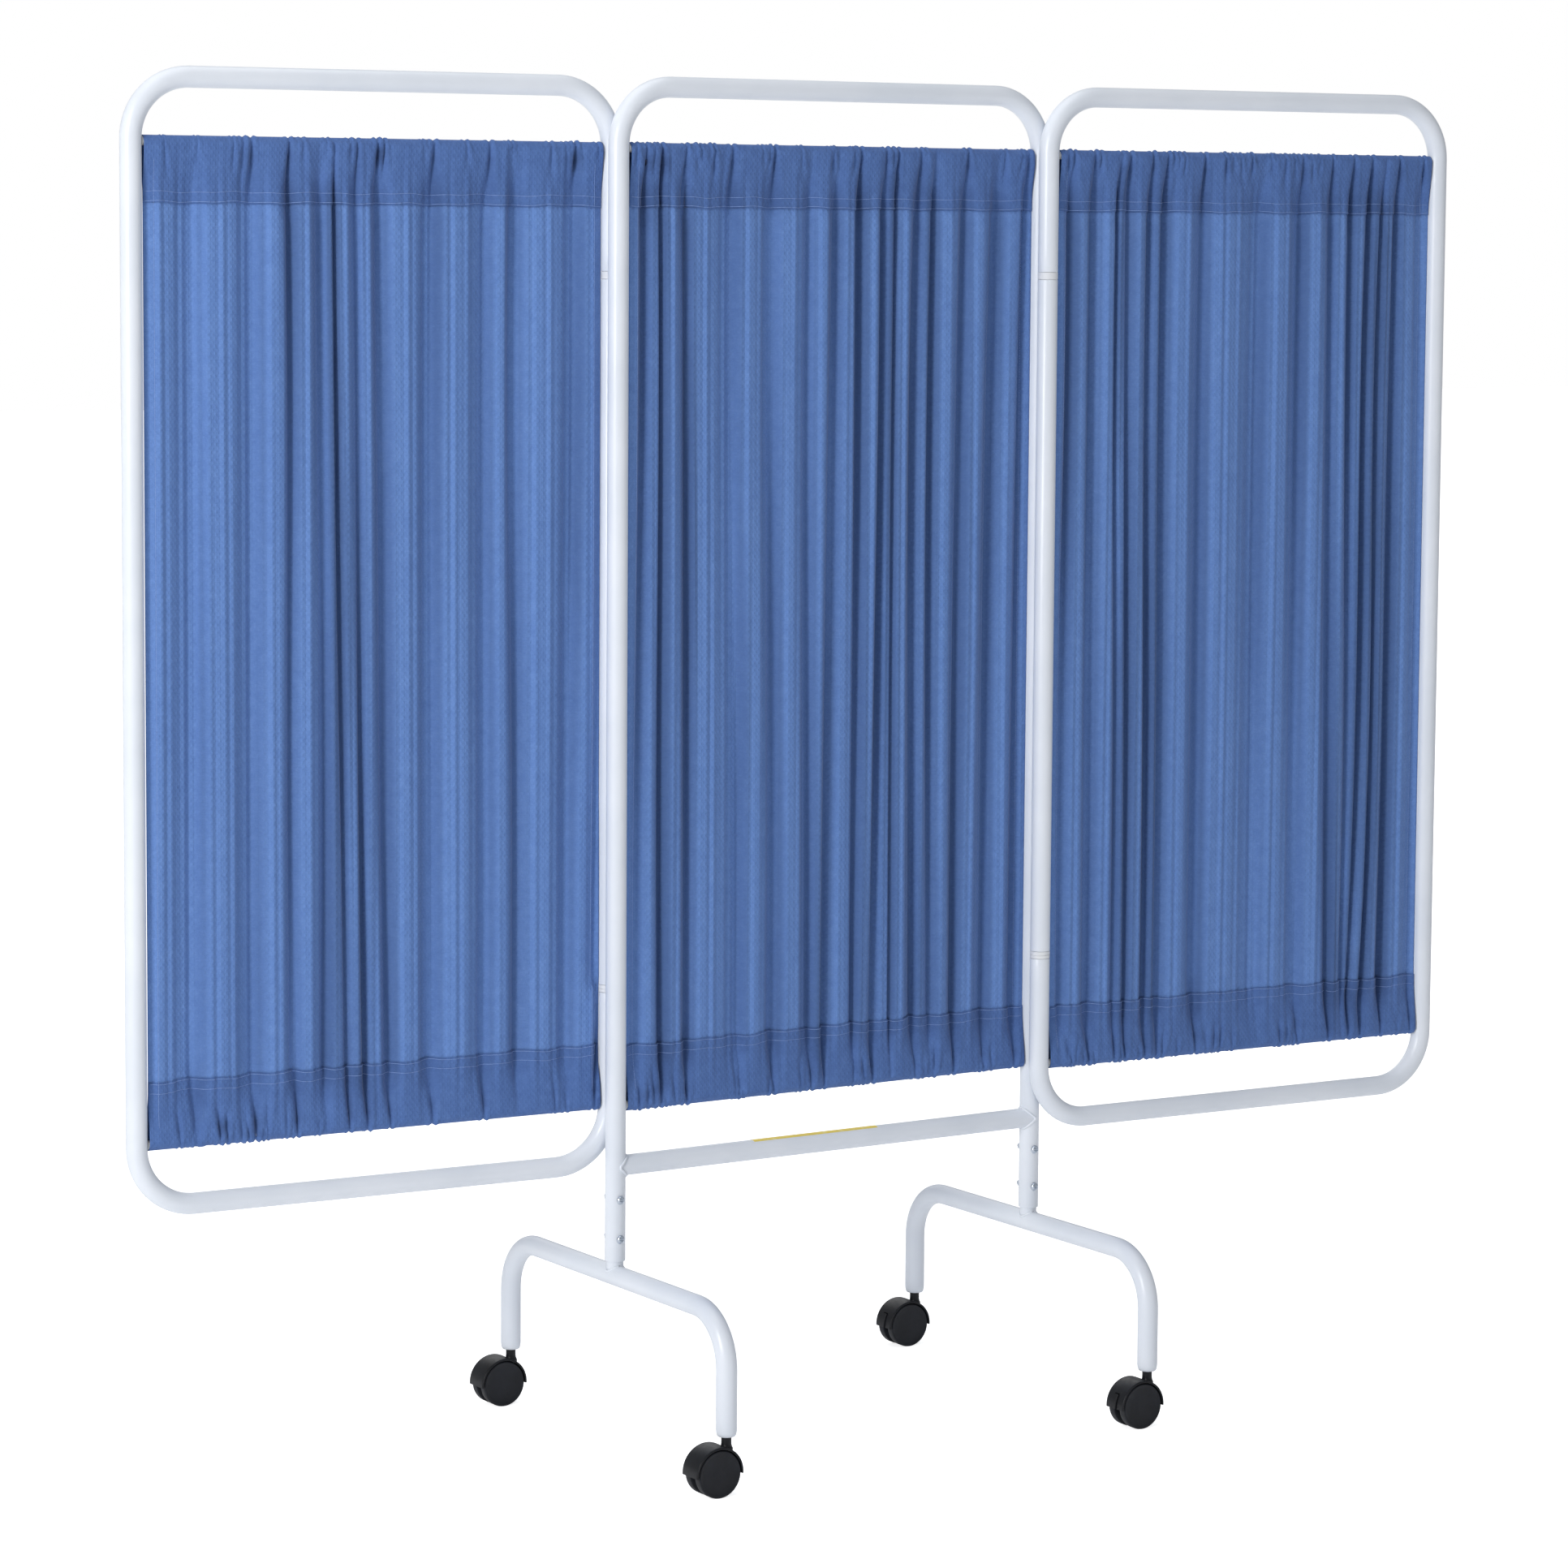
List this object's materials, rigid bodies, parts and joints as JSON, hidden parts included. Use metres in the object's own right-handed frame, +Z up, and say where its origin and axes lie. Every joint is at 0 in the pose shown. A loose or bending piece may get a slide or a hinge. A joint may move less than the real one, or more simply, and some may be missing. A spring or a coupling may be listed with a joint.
{
  "type": "folding curtain screen",
  "caption": "Folding privacy screen: gathered cloth curtains on rods in rounded tube frames, hinged side wings and a centre frame on raised castor legs.",
  "frame": {"origin": "on the floor, below the middle of the whole screen as it stands open", "axes": "+X along the row of panels, +Y to the back of the screen, +Z up"},
  "size_m": [1.8356, 0.5412, 1.6469],
  "materials": {
    "powder_coat": "satin",
    "nylon": "matte",
    "clip": "matte",
    "rod": "satin",
    "fabric": "matte",
    "zinc": "satin",
    "steel": "satin",
    "castor_body": "satin",
    "castor_wheel": "matte"
  },
  "bodies": {
    "centre": {"centre_hoop": "powder_coat", "crossbar": "powder_coat", "left_hinge_post": "powder_coat", "left_collar_upper": "nylon", "left_collar_lower": "nylon", "left_leg_bow": "powder_coat", "left_bolt_low": "zinc", "left_bolt_high": "zinc", "left_nut_low": "zinc", "left_nut_high": "zinc", "right_hinge_post": "powder_coat", "right_collar_upper": "nylon", "right_collar_lower": "nylon", "right_leg_bow": "powder_coat", "right_bolt_low": "zinc", "right_bolt_high": "zinc", "right_nut_low": "zinc", "right_nut_high": "zinc", "centre_rod_top": "rod", "centre_rod_bottom": "rod", "centre_clip_top_a": "clip", "centre_clip_top_b": "clip", "centre_clip_bottom_a": "clip", "centre_clip_bottom_b": "clip", "centre_curtain": "fabric"},
    "left_wing": {"left_wing_frame": "powder_coat", "left_wing_rod_top": "rod", "left_wing_rod_bottom": "rod", "left_wing_clip_top_a": "clip", "left_wing_clip_top_b": "clip", "left_wing_clip_bottom_a": "clip", "left_wing_clip_bottom_b": "clip", "left_wing_curtain": "fabric"},
    "right_wing": {"right_wing_frame": "powder_coat", "right_wing_rod_top": "rod", "right_wing_rod_bottom": "rod", "right_wing_clip_top_a": "clip", "right_wing_clip_top_b": "clip", "right_wing_clip_bottom_a": "clip", "right_wing_clip_bottom_b": "clip", "right_wing_curtain": "fabric"},
    "left_front_castor": {"left_front_castor_hood": "castor_body", "left_front_castor_axle": "steel"},
    "left_front_wheel_front": {"left_front_castor_wheel_front": "castor_wheel"},
    "left_front_wheel_back": {"left_front_castor_wheel_back": "castor_wheel"},
    "left_back_castor": {"left_back_castor_hood": "castor_body", "left_back_castor_axle": "steel"},
    "left_back_wheel_front": {"left_back_castor_wheel_front": "castor_wheel"},
    "left_back_wheel_back": {"left_back_castor_wheel_back": "castor_wheel"},
    "right_front_castor": {"right_front_castor_hood": "castor_body", "right_front_castor_axle": "steel"},
    "right_front_wheel_front": {"right_front_castor_wheel_front": "castor_wheel"},
    "right_front_wheel_back": {"right_front_castor_wheel_back": "castor_wheel"},
    "right_front_brake": {"right_front_castor_brake_lever": "castor_body"},
    "right_back_castor": {"right_back_castor_hood": "castor_body", "right_back_castor_axle": "steel"},
    "right_back_wheel_front": {"right_back_castor_wheel_front": "castor_wheel"},
    "right_back_wheel_back": {"right_back_castor_wheel_back": "castor_wheel"},
    "right_back_brake": {"right_back_castor_brake_lever": "castor_body"}
  },
  "joints": [
    {"name": "left_wing_hinge", "type": "hinge", "parent": "centre", "child": "left_wing", "pos_m": [-0.30281, 0.02501, 0.98], "axis": [0, 0, -1], "range_deg": [-2.5, 174.5]},
    {"name": "right_wing_hinge", "type": "hinge", "parent": "centre", "child": "right_wing", "pos_m": [0.30217, -0.02501, 0.98], "axis": [0, 0, -1], "range_deg": [-1.5, 175.5]},
    {"name": "left_front_swivel", "type": "hinge", "parent": "centre", "child": "left_front_castor", "pos_m": [-0.30722, -0.2536, 0.07], "axis": [0, 0, 1], "continuous": true},
    {"name": "left_front_spin_front", "type": "hinge", "parent": "left_front_castor", "child": "left_front_wheel_front", "pos_m": [-0.32522, -0.2536, 0.0283], "axis": [0, 1, 0], "continuous": true},
    {"name": "left_front_spin_back", "type": "hinge", "parent": "left_front_castor", "child": "left_front_wheel_back", "pos_m": [-0.32522, -0.2536, 0.0283], "axis": [0, 1, 0], "continuous": true},
    {"name": "left_back_swivel", "type": "hinge", "parent": "centre", "child": "left_back_castor", "pos_m": [-0.30722, 0.2536, 0.07], "axis": [0, 0, 1], "continuous": true},
    {"name": "left_back_spin_front", "type": "hinge", "parent": "left_back_castor", "child": "left_back_wheel_front", "pos_m": [-0.32522, 0.2536, 0.0283], "axis": [0, 1, 0], "continuous": true},
    {"name": "left_back_spin_back", "type": "hinge", "parent": "left_back_castor", "child": "left_back_wheel_back", "pos_m": [-0.32522, 0.2536, 0.0283], "axis": [0, 1, 0], "continuous": true},
    {"name": "right_front_swivel", "type": "hinge", "parent": "centre", "child": "right_front_castor", "pos_m": [0.30658, -0.2536, 0.07], "axis": [0, 0, 1], "continuous": true},
    {"name": "right_front_spin_front", "type": "hinge", "parent": "right_front_castor", "child": "right_front_wheel_front", "pos_m": [0.28858, -0.2536, 0.0283], "axis": [0, 1, 0], "continuous": true},
    {"name": "right_front_spin_back", "type": "hinge", "parent": "right_front_castor", "child": "right_front_wheel_back", "pos_m": [0.28858, -0.2536, 0.0283], "axis": [0, 1, 0], "continuous": true},
    {"name": "right_front_brake_lever", "type": "hinge", "parent": "right_front_castor", "child": "right_front_brake", "pos_m": [0.26225, -0.2536, 0.0435], "axis": [0, 1, 0], "range_deg": [0, 10]},
    {"name": "right_back_swivel", "type": "hinge", "parent": "centre", "child": "right_back_castor", "pos_m": [0.30658, 0.2536, 0.07], "axis": [0, 0, 1], "continuous": true},
    {"name": "right_back_spin_front", "type": "hinge", "parent": "right_back_castor", "child": "right_back_wheel_front", "pos_m": [0.28858, 0.2536, 0.0283], "axis": [0, 1, 0], "continuous": true},
    {"name": "right_back_spin_back", "type": "hinge", "parent": "right_back_castor", "child": "right_back_wheel_back", "pos_m": [0.28858, 0.2536, 0.0283], "axis": [0, 1, 0], "continuous": true},
    {"name": "right_back_brake_lever", "type": "hinge", "parent": "right_back_castor", "child": "right_back_brake", "pos_m": [0.26225, 0.2536, 0.0435], "axis": [0, 1, 0], "range_deg": [0, 10]}
  ]
}
